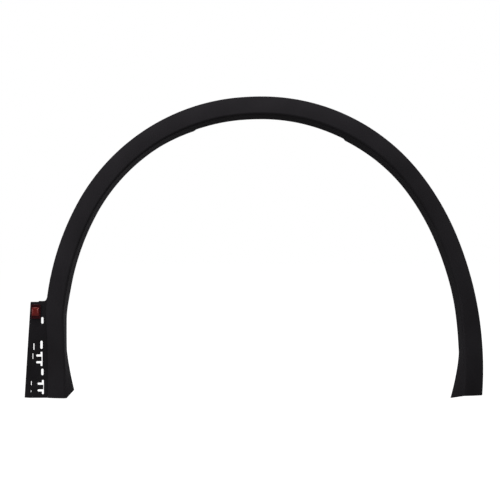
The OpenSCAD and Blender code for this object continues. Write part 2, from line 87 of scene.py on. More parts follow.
# The joining flange: plate, slots [in, up, length], tongues [in, up, reach], slits [in, up, width, length]
JOINT_H, JOINT_TOP, JOINT_BOTTOM, JOINT_T, JOGGLE = 191, 33.5, 46, 2.4, 3
SLOT_W, SLOTS = 4.4, [(10.3, 51.5, 13), (12, 105.5, 16), (10.3, 154, 13)]
TONGUES = [(9.3, 21.5, 2.6), (12, 77.5, 2)]
TONGUE_W, TONGUE_L, TONGUE_GAP, TONGUE_RUN, RELIEF = 9.2, 6.5, 3.6, 28, 4.2
NIB_H, NIB_L, NIB_W = 1.6, 5, 7.36
SIDE_SLITS = [(27, 102, 1.7, 13), (29, 83, 1.2, 11), (32, 29.3, 1.4, 8), (32.6, 13.3, 1, 4)]
JOINT_STEP, JOINT_FILLET, GUSSET = 1.6, 6, 6
GUSSET_HEIGHTS = [36, 92, 130, 178]
# The side lip: width, height, fold, wall, then its start behind the front, its shortfall and its curl
LIP_W, LIP_H, LIP_FOLD, LIP_T = 12, 120, 9, 1.8
LIP_IN, LIP_SHORT, LIP_CURL = 0.25, 0.3, 0.35
# The red clip: its plate, rim and place, its block, bulge and bars, its shank and barb
HOOK_W, HOOK_H, HOOK_T, HOOK_RIM, HOOK_RIM_H, HOOK_R = 18, 28, 1.8, 1.8, 1.4, 1.6
HOOK_IN, HOOK_UP = 22.8, 171.6
BLOCK_W, BLOCK_H, DOME, BAR_IN = 14, 16.8, 1.6, 1
SHANK_D, BARB, BARB_EDGE, BARB_L = 7, 1.4, 0.6, 8

# Softened edges of the walls and plates, and the radius at which a turned piece ends at its axis
BAND_RIM, FOOT_RIM, TOWER_RIM, FIN_RIM, FLANGE_RIM, NIB_RIM, GUSSET_RIM = 0.45, 0.3, 0.3, 0.25, 0.4, 0.25, 0.2
HOOK_SOFT, HOOK_RIM_SOFT, BAR_SOFT, BLOCK_SOFT = 0.3, 0.4, 0.35, 0.4
POLE = 0.01
# Edges turn sharp, or are softened, past these angles
SHARP_ANGLE, SOFT_ANGLE = 38, 40
# How finely the section, the sweep and the round forms are divided
LIP_STEPS, EDGE_STEPS, FACE_STEPS, CREASE_STEPS, FLANGE_STEPS = 3, 6, 10, 8, 6
STATION, STEP_STATION = 3.2, 1.0
CORNER_STEPS, TIP_STEPS, FILLET_STEPS, SLOT_STEPS, KEYHOLE_STEPS, SIDE_STEPS = 8, 6, 8, 12, 16, 23
PIN_SIDES, SHANK_SIDES = 40, 32
LIP_ACROSS, LIP_UP, BLOCK_GRID = 14, 40, 25


# The sweep: outline, section and places along the edge
def arc_length(arcs):
    """The sum of radius times angle."""
    return sum(radius * math.radians(angle) for radius, angle in arcs)


def follow(arcs, s):
    """Points [x, z, heading] at the lengths s on arcs that follow each other tangentially from the top, then
    on a straight line. On an arc of radius r that starts at heading h0, the heading is h0 + s / r and the
    point moves by r (sin h - sin h0, cos h - cos h0)."""
    out = np.zeros((len(s), 3))
    x, z, turned, start = 0.0, 0.0, 0.0, 0.0
    for radius, angle in arcs:
        on = s >= start
        heading = turned + (s[on] - start) / radius
        out[on, 0] = x + radius * (np.sin(heading) - math.sin(turned))
        out[on, 1] = z + radius * (np.cos(heading) - math.cos(turned))
        out[on, 2] = heading
        end = turned + math.radians(angle)
        x += radius * (math.sin(end) - math.sin(turned))
        z += radius * (math.cos(end) - math.cos(turned))
        start += radius * math.radians(angle)
        turned = end
    on = s >= start
    out[on, 0] = x + (s[on] - start) * math.cos(turned)
    out[on, 1] = z - (s[on] - start) * math.sin(turned)
    out[on, 2] = turned
    return out


def one(s):
    """One length as an array."""
    return np.array([float(s)])


RIGHT_ARCS = [(CROWN_R, CROWN_RIGHT), (SHOULDER_R, SHOULDER_RIGHT)]
LEFT_ARCS = [(FLAT_R, FLAT_SWEEP), (CROWN_R, CROWN_LEFT), (SHOULDER_R, SHOULDER_LEFT),
             (TURN_R, 90 + LEAN - FLAT_SWEEP - CROWN_LEFT - SHOULDER_LEFT), (-LEAN_R, -LEAN)]
# The right leg turns on until it is at the foot's level, and the left one runs on straight to it
leg_z, leg_heading = follow(RIGHT_ARCS, one(arc_length(RIGHT_ARCS)))[0, 1:]
foot_heading = math.acos(math.cos(leg_heading) - (leg_z + FOOT_DROP + CLIP_IN) / LEG_R)
RIGHT_ARCS.append((LEG_R, math.degrees(foot_heading - leg_heading)))
RIGHT_END = arc_length(RIGHT_ARCS)
LEFT_END = arc_length(LEFT_ARCS) + follow(LEFT_ARCS, one(arc_length(LEFT_ARCS)))[0, 1] + FOOT_DROP + CLIP_IN
LAST_ARC = RIGHT_END - 0.001


def edge(s):
    """The outer edge at signed lengths from the top, right positive: x, z and heading, which stops at a right
    angle. On the right it stops a hair before its last arc ends."""
    left, right = follow(LEFT_ARCS, np.maximum(-s, 0)), follow(RIGHT_ARCS, np.clip(s, 0, LAST_ARC))
    at = np.where((s < 0)[:, None], left, right)
    sign = np.where(s < 0, -1.0, 1.0)
    return sign * at[:, 0], CLIP_IN + at[:, 1], sign * np.minimum(at[:, 2], math.pi / 2)


def mix(a, b, t):
    """From a at t = 0 to b at t = 1."""
    return a + (b - a) * t


def ramp(t):
    """A smooth step from 0 to 1: t^2 (3 - 2 t)."""
    c = np.clip(t, 0, 1)
    return c * c * (3 - 2 * c)


def shares(steps):
    """The shares 0 to 1 in equal steps, as a column."""
    return np.linspace(0, 1, steps + 1)[:, None]


def edge_at(s):
    """x of the outer edge at one length."""
    return float(edge(one(s))[0][0])


JOINT_X, RIGHT_X = edge_at(-LEFT_END), edge_at(RIGHT_END)
JOINT_Y, JOINT_Z = BOW_LEFT - EDGE_H + JOGGLE, -FOOT_DROP


def bow(s):
    """How far the edge lies back at the lengths s: the square of the share of the half width, times the bow
    of that end."""
    x = edge(s)[0]
    return np.where(s < 0, BOW_LEFT * (x / JOINT_X) ** 2, BOW_RIGHT * (x / RIGHT_X) ** 2)


def to_foot(s):
    """The length that is left to the foot of that side."""
    return np.where(s < 0, LEFT_END + s, RIGHT_END - s)


def foot_share(s):
    """0 above the flare, growing evenly to 1 at the foot."""
    return 1 - np.minimum(to_foot(s) / np.where(s < 0, FLARE_LEFT_H, FLARE_RIGHT_H), 1)


def leg_share(s):
    """A smooth step from 0 at the leg's top to 1 where the flare starts."""
    return ramp((LEG_H - to_foot(s)) / (LEG_H - np.where(s < 0, FLARE_LEFT_H, FLARE_RIGHT_H)))


def face_at(s):
    """Width of the face, from the crown's to the leg's."""
    return mix(FACE, np.where(s < 0, FACE_LEFT, FACE_RIGHT), leg_share(s))


def flange_at(s):
    """Depth of the return flange: shallow over the crown, by a short smooth step to full depth beside it."""
    step = np.where(s < 0, ramp((-s - STEP_LEFT) / STEP_RUN), ramp((s - STEP_RIGHT) / STEP_RUN))
    return mix(FLANGE_CROWN, FLANGE_LEG, step)


def reach_at(s):
    """How far the return flange reaches past the crease: its height times the tangent of its draft, which
    turns into the waist along the leg, plus the flare times the foot's share to its power."""
    start = np.where(s < 0, SLOPE_LEFT[0], SLOPE_RIGHT[0])
    turn = np.where(s < 0, SLOPE_LEFT[1], SLOPE_RIGHT[1])
    heading = np.abs(np.degrees(edge(s)[2]))
    draft = mix(DRAFT_CROWN, np.where(s < 0, DRAFT_LEFT, DRAFT_RIGHT), ramp((heading - start) / turn))
    flare = np.where(s < 0, FLARE_LEFT, FLARE_RIGHT) * foot_share(s) ** FLARE_POWER
    return mix((CREST_H + flange_at(s)) * np.tan(np.radians(draft)), WAIST, leg_share(s)) + flare


def single(function, s):
    """What a function of lengths gives at one length."""
    return float(function(one(s))[0])


def unit(v):
    """Vectors at length 1."""
    return v / np.linalg.norm(v, axis=-1, keepdims=True)


def rounded(a, b, c, r, steps):
    """The corner b between a and c, one row for each station, rounded with radius r: points at equal angles
    on the arc that touches both sides."""
    p, q = unit(a - b), unit(c - b)
    half = np.arccos(np.sum(p * q, -1, keepdims=True)) / 2
    centre = b + unit(p + q) * r / np.sin(half)
    first, last = b + p * r / np.tan(half) - centre, b + q * r / np.tan(half) - centre
    turn = (math.pi - 2 * half)[:, None]
    t = shares(steps)
    arc = first[:, None] * np.sin(turn * (1 - t)) + last[:, None] * np.sin(turn * t)
    return centre[:, None] + arc / np.sin(turn)


def skin(s):
    """The outer skin of the section [u, v] at the lengths s: lip, rounded outer edge, crowned face, rounded
    crease, return flange. The face stands out from the straight line between its corners by 4 t (1 - t) times
    its crown."""
    face, zero = face_at(s), np.zeros(len(s))
    lip, corner = np.stack([zero, zero], 1), np.stack([zero, zero - EDGE_H], 1)
    crease, tip = np.stack([face, zero - CREST_H], 1), np.stack([face + reach_at(s), flange_at(s)], 1)
    outer = rounded(lip, corner, crease, EDGE_R, EDGE_STEPS)
    inner = rounded(corner, crease, tip, CREASE_R, CREASE_STEPS)
    run = inner[:, :1] - outer[:, -1:]
    forward = unit(np.stack([run[..., 1], -run[..., 0]], -1))
    t = shares(FACE_STEPS)[1:-1]
    crowned = outer[:, -1:] + run * t + forward * CROWN_H * 4 * t * (1 - t)
    wall = lip[:, None] + (outer[:, :1] - lip[:, None]) * shares(LIP_STEPS)[:-1]
    flange = inner[:, -1:] + (tip[:, None] - inner[:, -1:]) * shares(FLANGE_STEPS)[1:]
    return np.concatenate([wall, outer, crowned, inner, flange], 1)


def inset(line, t):
    """The lines moved into the wall by t: each point goes along the mean normal of its two sides, so that the
    wall keeps its thickness."""
    step = unit(np.diff(line, axis=1))
    before, after = np.concatenate([step[:, :1], step], 1), np.concatenate([step, step[:, -1:]], 1)
    mean = unit(before + after)
    normal = np.stack([-mean[..., 1], mean[..., 0]], -1) / np.sum(mean * before, -1, keepdims=True)
    return line + normal * t


def place(s, line):
    """Section points [u, v], one row for each length s, in space. The inner corner of the right foot hangs
    down, by the square of the foot's share."""
    x, z, heading = (part[:, None] for part in edge(s))
    u, v = line[..., 0], line[..., 1]
    past = np.maximum(0, (u - face_at(s)[:, None]) / reach_at(s)[:, None])
    drop = np.where(s > 0, foot_share(s) ** 2, 0)[:, None] * past * TIP_DROP
    return np.stack([x - u * np.sin(heading), bow(s)[:, None] + v, z - u * np.cos(heading) - drop], -1)


def on_edge(s):
    """The frame at a length s: X along the edge, Y into the body, Z outwards."""
    x, z, heading = (float(part[0]) for part in edge(one(s)))
    c, d = math.cos(heading), math.sin(heading)
    return Matrix(((c, 0, d, x), (0, 1, 0, single(bow, s)), (-d, 0, c, z), (0, 0, 0, 1)))


# Meshes
def mesh_object(name, points, faces):
    """A mesh object from points in mm and faces, with its place in its mesh."""
    mesh = bpy.data.meshes.new(name)
    mesh.from_pydata((np.asarray(points, float) * MM).tolist(), [], faces)
    mesh.validate()
    made = bpy.data.objects.new(name, mesh)
    bpy.context.scene.collection.objects.link(made)
    return made


def ring_faces(rings, sides):
    """Quads between closed rings of points, ring by ring."""
    first, side = np.arange(rings - 1)[:, None] * sides, np.arange(sides)
    a, b = (first + side).ravel(), (first + (side + 1) % sides).ravel()
    return np.stack([a, b, b + sides, a + sides], 1)


def wall_caps(rings, sides):
    """Quads that close both ends of a swept wall whose ring runs out along one skin and back on the other."""
    i = np.arange(sides // 2 - 1)
    first = np.stack([i, sides - 1 - i, sides - 2 - i, i + 1], 1)
    return np.concatenate([first, first[:, ::-1] + (rings - 1) * sides])


def placed(points, matrix):
    """Points in space, from points in the frame of a matrix."""
    return (np.c_[points, np.ones(len(points))] @ np.array(matrix).T)[:, :3]


def lathe(profile, sides, axis):
    """A profile [radius, height] turned about an axis, given as a matrix whose Z is the axis: the points
    (r cos a, r sin a, h) in it, with a face across each end."""
    a = np.linspace(0, 2 * math.pi, sides, endpoint=False)
    radius, height = np.array(profile, float).T[:, :, None]
    points = np.stack([radius * np.cos(a), radius * np.sin(a), height + 0 * a], -1).reshape(-1, 3)
    last = (len(profile) - 1) * sides
    ends = [list(range(sides))[::-1], list(range(last, last + sides))]
    return placed(points, axis), ring_faces(len(profile), sides).tolist() + ends


def rounded_outline(corners):
    """Corners [x, y, radius] of a flat outline. One with a radius becomes points at equal angles on the arc
    that touches both of its sides."""
    out = []
    points = [Vector(corner[:2]) for corner in corners]
    for i, b in enumerate(points):
        radius = corners[i][2]
        if radius <= 0:
            out.append(b)
            continue
        before, after = points[i - 1] - b, points[(i + 1) % len(points)] - b
        half = before.angle(after) / 2
        p, q = before.normalized(), after.normalized()
        centre = b + (p + q).normalized() * radius / math.sin(half)
        first, last = b + p * radius / math.tan(half) - centre, b + q * radius / math.tan(half) - centre
        turn = math.pi - 2 * half
        for t in shares(CORNER_STEPS)[:, 0]:
            arc = first * math.sin(turn * (1 - t)) + last * math.sin(turn * t)
            out.append(centre + arc / math.sin(turn))
    return out


def plate(outlines, depth, rim, matrix):
    """A flat plate with holes and softened edges, from closed outlines in its own XY, as points and faces
    placed by a matrix. Its middle plane is the matrix's XY plane."""
    curve = bpy.data.curves.new("outline", "CURVE")
    curve.dimensions, curve.fill_mode = "2D", "BOTH"
    curve.extrude, curve.bevel_depth, curve.offset, curve.bevel_resolution = depth / 2 - rim, rim, -rim, 2
    for outline in outlines:
        flat = np.array(outline, float)
        spline = curve.splines.new("POLY")
        spline.points.add(len(flat) - 1)
        spline.points.foreach_set("co", np.c_[flat, np.zeros(len(flat)), np.ones(len(flat))].ravel())
        spline.use_cyclic_u = True
    holder = bpy.data.objects.new("outline", curve)
    mesh = bpy.data.meshes.new_from_object(holder)
    points = np.empty(len(mesh.vertices) * 3)
    mesh.vertices.foreach_get("co", points)
    faces = [list(face.vertices) for face in mesh.polygons]
    bpy.data.objects.remove(holder)
    bpy.data.curves.remove(curve)
    bpy.data.meshes.remove(mesh)
    return placed(points.reshape(-1, 3), matrix), faces


def joined(parts):
    """Several point and face lists as one."""
    points, faces, start = [], [], 0
    for part_points, part_faces in parts:
        points.append(part_points)
        faces += [[i + start for i in face] for face in part_faces]
        start += len(part_points)
    return np.concatenate(points), faces


def finished(made, material, node, rim=0.0):
    """Merges doubled points, softens sharp edges, and gives a piece its finish and the body that it rides."""
    edit = bmesh.new()
    edit.from_mesh(made.data)
    bmesh.ops.remove_doubles(edit, verts=edit.verts, dist=1e-6)
    edit.to_mesh(made.data)
    edit.free()
    made.data.polygons.foreach_set("use_smooth", [True] * len(made.data.polygons))
    if rim:
        bevel = made.modifiers.new("soft edges", "BEVEL")
        bevel.width, bevel.segments = rim * MM, 2
        bevel.limit_method, bevel.angle_limit = "ANGLE", math.radians(SOFT_ANGLE)
        bevel.use_clamp_overlap, bevel.harden_normals = True, True
    else:
        made.data.set_sharp_from_angle(angle=math.radians(SHARP_ANGLE))
    made.data.materials.append(material)
    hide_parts(node)
    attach(made, "root")


# Finishes. A Mix node of colours has these sockets.
MIX_SHARE, MIX_FROM, MIX_TO, MIX_RESULT = 0, 6, 7, 2


class Value:
    """A shader socket that can be reckoned with: +, - and * add Math nodes, with a number on either side."""

    def __init__(self, tree, socket):
        self.tree, self.socket = tree, socket

    def reckon(self, operation, a, b):
        return self.tree.add("ShaderNodeMath", {"operation": operation}, {0: a, 1: b})

    def __add__(self, other):
        return self.reckon("ADD", self, other)

    def __sub__(self, other):
        return self.reckon("SUBTRACT", self, other)

    def __rsub__(self, other):
        return self.reckon("SUBTRACT", other, self)

    def __mul__(self, other):
        return self.reckon("MULTIPLY", self, other)

    __radd__, __rmul__ = __add__, __mul__


class Nodes:
    """The nodes of one material or world. add() takes a node's type, its settings, which are set first, and
    the values or links of its sockets, and gives the output that out names."""

    def __init__(self, owner):
        owner.use_nodes = True
        self.owner, self.nodes, self.links = owner, owner.node_tree.nodes, owner.node_tree.links
        self.nodes.clear()

    def add(self, kind, settings=None, inputs=None, out=0):
        node = self.nodes.new(kind)
        for key, value in (settings or {}).items():
            if key == "stops":
                for stop, (position, level) in zip(node.color_ramp.elements, value):
                    stop.position, stop.color = position, (level, level, level, 1)
            else:
                setattr(node, key, value)
        for key, value in (inputs or {}).items():
            if isinstance(value, Value):
                self.links.new(value.socket, node.inputs[key])
            else:
                node.inputs[key].default_value = value
        return Value(self, node.outputs[out]) if node.outputs else None

    def between(self, share, dark, light):
        inputs = {MIX_SHARE: share, MIX_FROM: (*dark, 1), MIX_TO: (*light, 1)}
        return self.add("ShaderNodeMix", {"data_type": "RGBA"}, inputs, MIX_RESULT)

    def seen(self):
        """1 for what the camera, gloss and glass see, 0 for the light that falls on the object."""
        rays = ("Is Camera Ray", "Is Glossy Ray", "Is Transmission Ray")
        camera, gloss, glass = (self.add("ShaderNodeLightPath", out=ray) for ray in rays)
        return camera + gloss + glass


class Finish(Nodes):
    """A material on Object coordinates: scales are in waves or cells for a metre, bump distances in mm."""

    def __init__(self, name):
        super().__init__(bpy.data.materials.new(name))
        self.place = self.add("ShaderNodeTexCoord", out="Object")

    def noise(self, scale, detail, roughness):
        inputs = {"Vector": self.place, "Scale": scale, "Detail": detail, "Roughness": roughness}
        return self.add("ShaderNodeTexNoise", inputs=inputs)

    def cells(self, scale):
        inputs = {"Vector": self.place, "Scale": scale}
        return self.add("ShaderNodeTexVoronoi", {"feature": "SMOOTH_F1"}, inputs, "Distance")

    def levels(self, value, *stops):
        return self.add("ShaderNodeValToRGB", {"stops": stops}, {"Fac": value})

    def bump(self, height, distance, strength, under=None):
        inputs = {"Height": height, "Distance": distance * MM, "Strength": strength}
        if under is not None:
            inputs["Normal"] = under
        return self.add("ShaderNodeBump", inputs=inputs)

    def surface(self, **sockets):
        inputs = {name.replace("_", " "): value for name, value in sockets.items()}
        shader = self.add("ShaderNodeBsdfPrincipled", inputs=inputs)
        self.add("ShaderNodeOutputMaterial", inputs={"Surface": shader})
        return self.owner


def black_plastic(name, dark, light):
    """Black polypropylene from a grained mould: fine raised cells, faint flow clouds, a few dull rubs."""
    f = Finish(name)
    grain = f.cells(scale=1150) * 0.7 + f.noise(scale=2600, detail=3, roughness=0.6) * 0.5
    clouds = f.levels(f.noise(scale=9, detail=4, roughness=0.55), (0.3, 0), (0.7, 1))
    rubs = f.levels(f.noise(scale=38, detail=5, roughness=0.62), (0.56, 0), (0.72, 1))
    sink = f.bump(f.noise(scale=160, detail=2, roughness=0.5), distance=0.05, strength=0.12)
    normal = f.bump(grain, distance=0.035, strength=0.55, under=sink)
    return f.surface(Base_Color=f.between(clouds, dark, light), Roughness=0.54 + grain * 0.08 - rubs * 0.05,
                     Normal=normal, Specular_IOR_Level=0.003)


def clip_red(name, deep, light, shine):
    """Red nylon from a polished mould, between a deep and a light colour: a small reddish shine, slight sink
    and flow marks."""
    f = Finish(name)
    colour = f.between(f.noise(scale=70, detail=3, roughness=0.5), deep, light)
    rough = 0.12 + f.noise(scale=240, detail=2, roughness=0.5) * 0.08
    normal = f.bump(f.noise(scale=420, detail=3, roughness=0.55), distance=0.02, strength=0.1)
    return f.surface(Base_Color=colour, Roughness=rough, Normal=normal, Specular_IOR_Level=shine,
                     Specular_Tint=(1, 0.45, 0.42, 1))


def clip_natural(name, dark, light):
    """Undyed nylon: milky, slightly yellow, matt where the mould is sparked."""
    f = Finish(name)
    colour = f.between(f.noise(scale=120, detail=3, roughness=0.5), dark, light)
    rough = 0.38 + f.noise(scale=300, detail=2, roughness=0.5) * 0.15
    normal = f.bump(f.noise(scale=900, detail=3, roughness=0.6), distance=0.02, strength=0.3)
    return f.surface(Base_Color=colour, Roughness=rough, Normal=normal, Subsurface_Weight=0.15,
                     Subsurface_Radius=(0.002, 0.0016, 0.001))


BLACK = black_plastic("grained_black", (0.0146, 0.0135, 0.0151), (0.0205, 0.0191, 0.0213))
# A darker copy of the same black for the joining flange and its parts: painted shade of the recessed flange
FLANGE_SHADED_BLACK = black_plastic("flange_black_painted_shade", (0.0125, 0.0115, 0.0129), (0.0176, 0.0164, 0.0183))
NATURAL = clip_natural("clip_natural", (0.60, 0.56, 0.46), (0.72, 0.69, 0.60))
RED = clip_red("clip_red", (0.075, 0.002, 0.001), (0.110, 0.003, 0.0025), 0.30)
# A darker copy of the clip's red for its plate, rim, ribs and shank: painted shade round the raised block
SHADED_RED = clip_red("clip_red_painted_shade", (0.018, 0.003, 0.005), (0.030, 0.004, 0.006), 0.08)


def black(made, rim=0.0, finish=BLACK):
    finished(made, finish, "arch_moulding", rim)


# The swept band and what stands behind its face
def cut_corner(made):
    """Cuts the inner corner off the left foot at 45 degrees, closes the cut and turns faces outwards."""
    tip = JOINT_X + single(face_at, -LEFT_END) + single(reach_at, -LEFT_END)
    right_of_foot, above_foot = (JOINT_X + 90) * MM, (JOINT_Z + 60) * MM
    edit = bmesh.new()
    edit.from_mesh(made.data)
    foot = [v for v in edit.verts if v.co.x < right_of_foot and v.co.z < above_foot]
    faces = list({face for v in foot for face in v.link_faces})
    edges = list({side for face in faces for side in face.edges})
    corners = list({v for face in faces for v in face.verts})
    start, away = Vector((tip - CORNER_CUT, 0, JOINT_Z)) * MM, Vector((1, 0, -1))
    cut = bmesh.ops.bisect_plane(edit, geom=corners + edges + faces, dist=1e-7, plane_co=start, plane_no=away,
                                 clear_outer=True)
    rim = [side for side in cut["geom_cut"] if isinstance(side, bmesh.types.BMEdge)]
    bmesh.ops.triangle_fill(edit, use_beauty=True, edges=rim)
    bmesh.ops.recalc_face_normals(edit, faces=edit.faces)
    edit.to_mesh(made.data)
    edit.free()


def swept_band():
    """The section carried along the edge: each ring runs out on the outer skin and back on the inner one."""
    stops = [-LEFT_END, -STEP_LEFT - STEP_RUN, -STEP_LEFT, STEP_RIGHT, STEP_RIGHT + STEP_RUN, RIGHT_END]
    pitches = [STATION, STEP_STATION, STATION, STEP_STATION, STATION]
    runs = [np.linspace(a, b, math.ceil((b - a) / pitch), endpoint=False)
            for a, b, pitch in zip(stops, stops[1:], pitches)]
    s = np.concatenate([*runs, [RIGHT_END]])
    outer = skin(s)
    rings = place(s, np.concatenate([outer, inset(outer, WALL)[:, ::-1]], 1))
    m, n = rings.shape[:2]
    faces = np.concatenate([ring_faces(m, n)[:, ::-1], wall_caps(m, n)])
    return rings.reshape(-1, 3), faces.tolist()


def closing_wall(s0, s1, top):
    """A wall that fills the section between two lengths, up to a depth: the middle line of the moulding's
    wall, closed by a straight top."""
    s = np.array([s0, s1], float)
    middle = inset(skin(s), WALL / 2)
    crease, tip = middle[:, -1 - FLANGE_STEPS], middle[:, -1]
    share = ((top - crease[:, 1]) / (tip[:, 1] - crease[:, 1]))[:, None]
    first, last = np.stack([middle[:, 0, 0], np.full(2, top)], 1), crease + (tip - crease) * share
    ring = place(s, np.concatenate([first[:, None], middle[:, 1:-FLANGE_STEPS], last[:, None]], 1))
    n = ring.shape[1]
    return ring.reshape(-1, 3), [*ring_faces(2, n).tolist(), list(range(n))[::-1], list(range(n, 2 * n))]


def root(u, face):
    """Depth of the middle of the face's wall at a distance u from the outer edge."""
    return WALL / 2 - CROWN_H / 2 - EDGE_H - (CREST_H - EDGE_H) * u / face


CLIP_STOPS = [side * (TOWER_FIRST + i * TOWER_PITCH) for side in (-1, 1) for i in range(5)]
RIB_STOPS = [side * (TOWER_FIRST + (i + 0.5) * TOWER_PITCH) for side in (-1, 1) for i in range(3)]
PIN_STOPS = [0, -PIN_FAR, PIN_FAR]
# A plate's X and Y as u and v of the section, so that its thickness runs along the edge
ACROSS = Matrix(((0, 0, 1, 0), (0, 1, 0, 0), (-1, 0, 0, 0), (0, 0, 0, 1)))
# A plate's X and Y along the edge and across it, so that its thickness runs into the body
SEATED = Matrix(((1, 0, 0, 0), (0, 0, 1, 0), (0, -1, 0, 0), (0, 0, 0, 1)))


def tower(s):
    """A clip tower: a back wall and two side walls on the face, and a seat whose keyhole is open in front."""
    at, face = on_edge(s), single(face_at, s)
    w, half, top, r = TOWER_W / 2, TOWER_L / 2, -SEAT_GAP, NECK_D / 2 + CLIP_GAP
    mouth_r, front_r, seat_r, back_r, side_r = 0.9, 1.2, 1, 0.8, 0.6
    near, far = CLIP_IN - w, CLIP_IN + w
    back = [(near, root(near, face), 0), (far, root(far, face), 0), (far, top, back_r), (near, top, back_r)]
    parts = [plate([rounded_outline(back)], TOWER_WALL, TOWER_RIM,
                   at @ Matrix.Translation((TOWER_WALL / 2 - half, 0, 0)) @ ACROSS)]
    for u in (near + TOWER_WALL / 2, far - TOWER_WALL / 2):
        low = root(u, face)
        side = [(-half, low, 0), (half, low, 0), (half, top, front_r), (-half, top, side_r)]
        beside = at @ Matrix.Translation((0, 0, -u))
        parts.append(plate([rounded_outline(side)], TOWER_WALL, TOWER_RIM, beside))
    seat = [(0, -r, 0), (half, -r, mouth_r), (half, -w, front_r), (-half, -w, seat_r),
            (-half, w, seat_r), (half, w, front_r), (half, r, mouth_r), (0, r, 0)]
    a = math.pi * shares(KEYHOLE_STEPS)[1:-1]
    outline = [*rounded_outline(seat), *np.concatenate([-r * np.sin(a), r * np.cos(a)], 1)]
    parts.append(plate([outline], TOWER_WALL, TOWER_RIM,
                       at @ Matrix.Translation((0, top - TOWER_WALL / 2, -CLIP_IN)) @ SEATED))
    return joined(parts)


def pin(s):
    """A locating pin on a shoulder, and a cross of fins down to the face. The pin's tip is a quarter of an
    ellipse in profile, over half its radius."""
    at, face = on_edge(s), single(face_at, s)
    into = at @ Matrix.Translation((0, 0, -CLIP_IN)) @ Matrix.Rotation(-math.pi / 2, 4, "X")
    r, lead = PIN_D / 2, PIN_L - PIN_TIP
    a = math.pi / 2 * shares(TIP_STEPS)[1:]
    tip = np.concatenate([r - r / 2 * (1 - np.cos(a)), lead + PIN_TIP * np.sin(a)], 1)
    foot = [(r + PIN_ROOT, 0), (r + PIN_ROOT / 3, PIN_ROOT / 4), (r, PIN_ROOT), (r, lead)]
    wide, deep, soft, dip = SHOULDER_D / 2, root(CLIP_IN, face), SHOULDER_EDGE, 0.3 * SHOULDER_EDGE
    shoulder = [(wide, deep), (wide, -soft), (wide - dip, -dip), (wide - soft, 0), (POLE, 0)]
    near, far, fin_r, along_r = CLIP_IN - SHOULDER_D, CLIP_IN + SHOULDER_D, 0.8, 1
    low, high = root(near, face), root(far, face)
    fin = [(near, low, 0), (far, high, 0), (far, high + WALL, fin_r), (CLIP_IN + FIN_TOP / 2, -SEAT_GAP, 0),
           (CLIP_IN - FIN_TOP / 2, -SEAT_GAP, 0), (near, low + WALL, fin_r)]
    along = [(-SHOULDER_D, deep, 0), (SHOULDER_D, deep, 0), (SHOULDER_D, deep + 2 * WALL, along_r),
             (-SHOULDER_D, deep + 2 * WALL, along_r)]
    return joined([lathe([*foot, *tip, (POLE, PIN_L)], PIN_SIDES, into), lathe(shoulder, PIN_SIDES, into),
                   plate([rounded_outline(fin)], RIB, FIN_RIM, at @ ACROSS),
                   plate([rounded_outline(along)], RIB, FIN_RIM, at @ Matrix.Translation((0, 0, -CLIP_IN)))])


arch = mesh_object("swept_band", *swept_band())
cut_corner(arch)
black(arch, BAND_RIM)
left_end = -LEFT_END + END_GAP
left_wall = mesh_object("foot_wall_left", *closing_wall(left_end, left_end + WALL, -END_DROP))
cut_corner(left_wall)
black(left_wall, FOOT_RIM)
right_end = RIGHT_END - END_GAP
black(mesh_object("foot_wall_right", *closing_wall(right_end - WALL, right_end, -END_DROP)), FOOT_RIM)
black(mesh_object("ribs", *joined([closing_wall(s - RIB / 2, s + RIB / 2, -RIB_GAP) for s in RIB_STOPS])))
black(mesh_object("clip_towers", *joined([tower(s) for s in CLIP_STOPS])))
black(mesh_object("locating_pins", *joined([pin(s) for s in PIN_STOPS])))

# The joining flange, drawn from the joint line and the foot
ON_JOINT = Matrix(((1, 0, 0, JOINT_X), (0, 0, -1, JOINT_Y), (0, 1, 0, JOINT_Z), (0, 0, 0, 1)))
# The left edge of the plate where the side lip ends
LIP_TOP_X = mix(-JOINT_BOTTOM, -JOINT_TOP, LIP_H / JOINT_H)


def slot_outline(x, z, width, length):
    """A slot with round ends, as a loop of two half circles."""
    a, r = math.pi * shares(SLOT_STEPS), width / 2
    top = np.concatenate([-x + r * np.cos(a), z + (length - width) / 2 + r * np.sin(a)], 1)
    return np.concatenate([top, np.array([-2 * x, 2 * z]) - top])


def tongue_outline(x, z, reach):
    """The gap round a snap tongue: a run along its free end, which reaches into it, and two arms beside it
    with round ends."""
    w, run, near, far = TONGUE_GAP / 2, TONGUE_RUN / 2, TONGUE_W / 2, TONGUE_W / 2 + RELIEF
    end, free = w + TONGUE_L + RELIEF / 2, reach - w
    run_r, neck_r, arm_r, tip_r = 0.9, 0.8, 2.05, 0.5
    corners = [(w, run, run_r), (w, -run, run_r), (-w, -run, run_r), (-w, -far, neck_r), (-end, -far, arm_r),
               (-end, -near, arm_r), (free, -near, tip_r), (free, near, tip_r), (-end, near, arm_r),
               (-end, far, arm_r), (-w, far, neck_r), (-w, run, run_r)]
    return [p + Vector((-x, z)) for p in rounded_outline(corners)]


def edge_x(z):
    """The arch's outer edge at a height above the left foot, from the joint line at the foot."""
    return edge_at(z - LEFT_END) - JOINT_X


